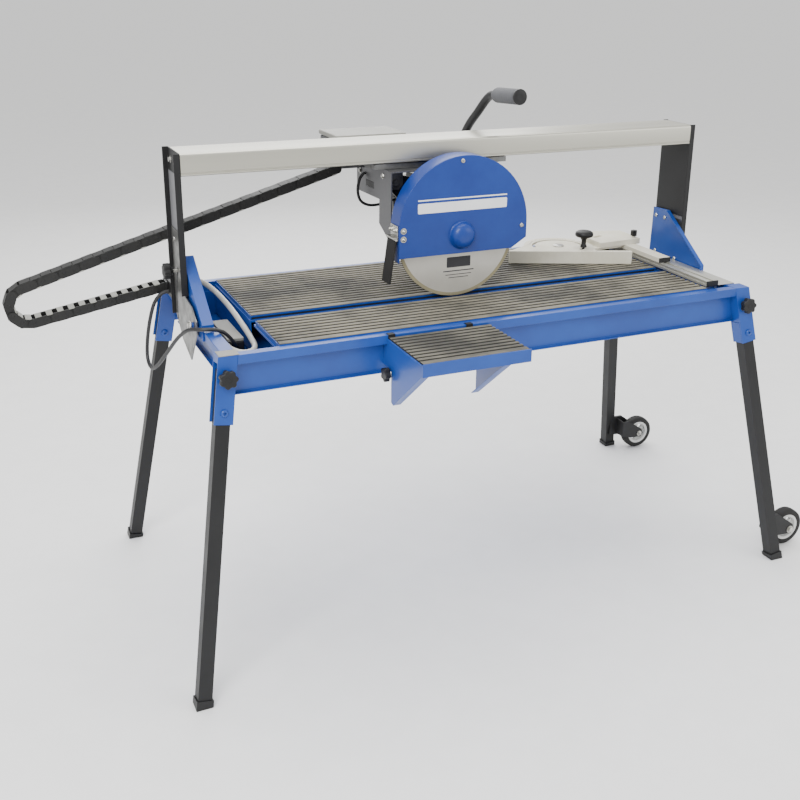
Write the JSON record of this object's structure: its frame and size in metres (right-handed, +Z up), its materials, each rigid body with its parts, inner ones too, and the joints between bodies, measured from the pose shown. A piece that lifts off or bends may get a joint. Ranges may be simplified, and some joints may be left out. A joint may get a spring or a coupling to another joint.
{
  "type": "tile cutter",
  "caption": "Bridge wet saw for tiles: tilting beam with a sliding cutting head and guarded diamond blade over a water tray table on folding legs with transport wheels.",
  "frame": {"origin": "on the floor, under the middle of the whole machine's bounding box", "axes": "+X along the cut to the wheel end, +Y away from the operator, +Z up"},
  "size_m": [1.9105, 0.8651, 1.192],
  "materials": {
    "water_tray": "gloss",
    "front_rail": "gloss",
    "rear_rail": "gloss",
    "left_rail": "gloss",
    "right_rail": "gloss",
    "leg_bracket_front_left": "gloss",
    "leg_bracket_rear_left": "gloss",
    "leg_bracket_front_right": "gloss",
    "leg_bracket_rear_right": "gloss",
    "front_panel": "gloss",
    "rear_panel": "gloss",
    "front_mat": "matte",
    "rear_mat": "matte",
    "left_gusset": "gloss",
    "right_gusset": "gloss",
    "water_pump": "matte",
    "pump_hose": "gloss",
    "pump_cable": "matte",
    "fence_profile": "satin",
    "guide_beam": "satin",
    "left_post": "satin",
    "right_post": "satin",
    "left_tilt_plate": "satin",
    "right_tilt_plate": "satin",
    "chain_lower_run": "matte",
    "carriage": "satin",
    "motor_bracket": "satin",
    "switch_box": "matte",
    "chain_upper_run": "matte",
    "chain_loop": "matte",
    "swing_arm": "satin",
    "motor_housing": "satin",
    "guard_shell": "gloss",
    "guard_cover": "gloss",
    "handle_tube": "satin",
    "handle_grip": "matte",
    "splash_flap": "matte",
    "blade": "satin",
    "spindle": "satin",
    "switch_rocker": "matte",
    "tilt_knob_left": "matte",
    "tilt_knob_right": "matte",
    "angle_stop_base": "satin",
    "angle_fence": "satin",
    "angle_knob": "matte",
    "extension_table": "gloss",
    "leg_front_left": "satin",
    "foot_front_left": "matte",
    "leg_knob_front_left": "matte",
    "leg_rear_left": "satin",
    "foot_rear_left": "matte",
    "leg_knob_rear_left": "matte",
    "leg_front_right": "satin",
    "foot_front_right": "matte",
    "leg_knob_front_right": "matte",
    "leg_rear_right": "satin",
    "foot_rear_right": "matte",
    "leg_knob_rear_right": "matte",
    "wheel_front": "matte",
    "wheel_rear": "matte"
  },
  "bodies": {
    "frame": {"water_tray": "water_tray", "front_rail": "front_rail", "rear_rail": "rear_rail", "left_rail": "left_rail", "right_rail": "right_rail", "leg_bracket_front_left": "leg_bracket_front_left", "leg_bracket_rear_left": "leg_bracket_rear_left", "leg_bracket_front_right": "leg_bracket_front_right", "leg_bracket_rear_right": "leg_bracket_rear_right", "front_panel": "front_panel", "rear_panel": "rear_panel", "front_mat": "front_mat", "rear_mat": "rear_mat", "left_gusset": "left_gusset", "right_gusset": "right_gusset", "water_pump": "water_pump", "pump_hose": "pump_hose", "pump_cable": "pump_cable", "fence_profile": "fence_profile"},
    "portal": {"guide_beam": "guide_beam", "left_post": "left_post", "right_post": "right_post", "left_tilt_plate": "left_tilt_plate", "right_tilt_plate": "right_tilt_plate", "chain_lower_run": "chain_lower_run"},
    "carriage": {"carriage": "carriage", "motor_bracket": "motor_bracket", "switch_box": "switch_box", "chain_upper_run": "chain_upper_run"},
    "chain_bend": {"chain_loop": "chain_loop"},
    "head": {"swing_arm": "swing_arm", "motor_housing": "motor_housing", "guard_shell": "guard_shell", "guard_cover": "guard_cover", "handle_tube": "handle_tube", "handle_grip": "handle_grip"},
    "flap": {"splash_flap": "splash_flap"},
    "saw_blade": {"blade": "blade", "spindle": "spindle"},
    "rocker": {"switch_rocker": "switch_rocker"},
    "tilt_knob_left": {"tilt_knob_left": "tilt_knob_left"},
    "tilt_knob_right": {"tilt_knob_right": "tilt_knob_right"},
    "angle_stop": {"angle_stop_base": "angle_stop_base"},
    "angle_fence": {"angle_fence": "angle_fence"},
    "angle_knob": {"angle_knob": "angle_knob"},
    "extension": {"extension_table": "extension_table"},
    "leg_front_left": {"leg_front_left": "leg_front_left", "foot_front_left": "foot_front_left"},
    "leg_knob_front_left": {"leg_knob_front_left": "leg_knob_front_left"},
    "leg_rear_left": {"leg_rear_left": "leg_rear_left", "foot_rear_left": "foot_rear_left"},
    "leg_knob_rear_left": {"leg_knob_rear_left": "leg_knob_rear_left"},
    "leg_front_right": {"leg_front_right": "leg_front_right", "foot_front_right": "foot_front_right"},
    "leg_knob_front_right": {"leg_knob_front_right": "leg_knob_front_right"},
    "leg_rear_right": {"leg_rear_right": "leg_rear_right", "foot_rear_right": "foot_rear_right"},
    "leg_knob_rear_right": {"leg_knob_rear_right": "leg_knob_rear_right"},
    "wheel_front": {"wheel_front": "wheel_front"},
    "wheel_rear": {"wheel_rear": "wheel_rear"}
  },
  "joints": [
    {"name": "portal_tilt", "type": "hinge", "parent": "frame", "child": "portal", "pos_m": [0.0753, -0.0399, 0.7236], "axis": [1, 0, 0], "range_deg": [0, 45]},
    {"name": "carriage_slide", "type": "slide", "parent": "portal", "child": "carriage", "axis": [1, 0, 0], "range_m": [-0.39, 0.48], "deforming": ["chain_upper_run", "chain_lower_run"]},
    {"name": "chain_loop_slide", "type": "slide", "parent": "portal", "child": "chain_bend", "axis": [1, 0, 0], "range_m": [-0.2, 0.245]},
    {"name": "head_plunge", "type": "hinge", "parent": "carriage", "child": "head", "pos_m": [-0.0897, 0.0469, 0.985], "axis": [0, -1, 0], "range_deg": [0, 9]},
    {"name": "blade_spin", "type": "hinge", "parent": "head", "child": "saw_blade", "pos_m": [0.0373, -0.0399, 0.87], "axis": [0, 1, 0], "continuous": true},
    {"name": "flap_swing", "type": "hinge", "parent": "head", "child": "flap", "pos_m": [-0.1267, -0.0421, 0.872], "axis": [0, 1, 0], "range_deg": [0, 60]},
    {"name": "rocker_tilt", "type": "hinge", "parent": "carriage", "child": "rocker", "pos_m": [-0.0117, 0.2154, 1.0475], "axis": [0, 1, 0], "range_deg": [-6, 6]},
    {"name": "tilt_knob_left_turn", "type": "hinge", "parent": "frame", "child": "tilt_knob_left", "pos_m": [-0.6047, 0.08707, 0.8125], "axis": [-1, 0, 0], "range_deg": [0, 180]},
    {"name": "tilt_knob_right_turn", "type": "hinge", "parent": "frame", "child": "tilt_knob_right", "pos_m": [0.7553, 0.08707, 0.8125], "axis": [1, 0, 0], "range_deg": [0, 180]},
    {"name": "angle_stop_slide", "type": "slide", "parent": "frame", "child": "angle_stop", "axis": [0, 1, 0], "range_m": [-0.19, 0.02]},
    {"name": "angle_fence_turn", "type": "hinge", "parent": "angle_stop", "child": "angle_fence", "pos_m": [0.4403, 0.1544, 0.754], "axis": [0, 0, 1], "range_deg": [-22, 23]},
    {"name": "angle_knob_turn", "type": "hinge", "parent": "angle_stop", "child": "angle_knob", "pos_m": [0.49565, 0.11845, 0.78], "axis": [0, 0, 1], "range_deg": [0, 180]},
    {"name": "extension_slide", "type": "slide", "parent": "frame", "child": "extension", "axis": [1, 0, 0], "range_m": [-0.29, 0.65]},
    {"name": "leg_front_left_fold", "type": "hinge", "parent": "frame", "child": "leg_front_left", "pos_m": [-0.58684, -0.25183, 0.605], "axis": [0.0254, -0.9866, 0.161], "range_deg": [0, 93]},
    {"name": "leg_knob_front_left_turn", "type": "hinge", "parent": "frame", "child": "leg_knob_front_left", "pos_m": [-0.57596, -0.24029, 0.674], "axis": [0.0254, -0.9866, 0.161], "range_deg": [0, 180]},
    {"name": "leg_rear_left_fold", "type": "hinge", "parent": "frame", "child": "leg_rear_left", "pos_m": [-0.58684, 0.31263, 0.605], "axis": [-0.0254, -0.9866, -0.161], "range_deg": [0, 93]},
    {"name": "leg_knob_rear_left_turn", "type": "hinge", "parent": "frame", "child": "leg_knob_rear_left", "pos_m": [-0.57596, 0.30109, 0.674], "axis": [0.0254, 0.9866, 0.161], "range_deg": [0, 180]},
    {"name": "leg_front_right_fold", "type": "hinge", "parent": "frame", "child": "leg_front_right", "pos_m": [0.73744, -0.25183, 0.605], "axis": [0.0254, 0.9866, -0.161], "range_deg": [0, 93]},
    {"name": "leg_knob_front_right_turn", "type": "hinge", "parent": "frame", "child": "leg_knob_front_right", "pos_m": [0.72656, -0.24029, 0.674], "axis": [-0.0254, -0.9866, 0.161], "range_deg": [0, 180]},
    {"name": "leg_rear_right_fold", "type": "hinge", "parent": "frame", "child": "leg_rear_right", "pos_m": [0.73744, 0.31263, 0.605], "axis": [-0.0254, 0.9866, 0.161], "range_deg": [0, 93]},
    {"name": "leg_knob_rear_right_turn", "type": "hinge", "parent": "frame", "child": "leg_knob_rear_right", "pos_m": [0.72656, 0.30109, 0.674], "axis": [-0.0254, 0.9866, 0.161], "range_deg": [0, 180]},
    {"name": "wheel_front_spin", "type": "hinge", "parent": "leg_front_right", "child": "wheel_front", "pos_m": [0.9053, -0.3046, 0.052], "axis": [0, 1, 0], "continuous": true},
    {"name": "wheel_rear_spin", "type": "hinge", "parent": "leg_rear_right", "child": "wheel_rear", "pos_m": [0.9053, 0.3654, 0.052], "axis": [0, 1, 0], "continuous": true}
  ],
  "couplings": [
    {"joint": "chain_loop_slide", "follows": "carriage_slide", "ratio": 0.5}
  ]
}
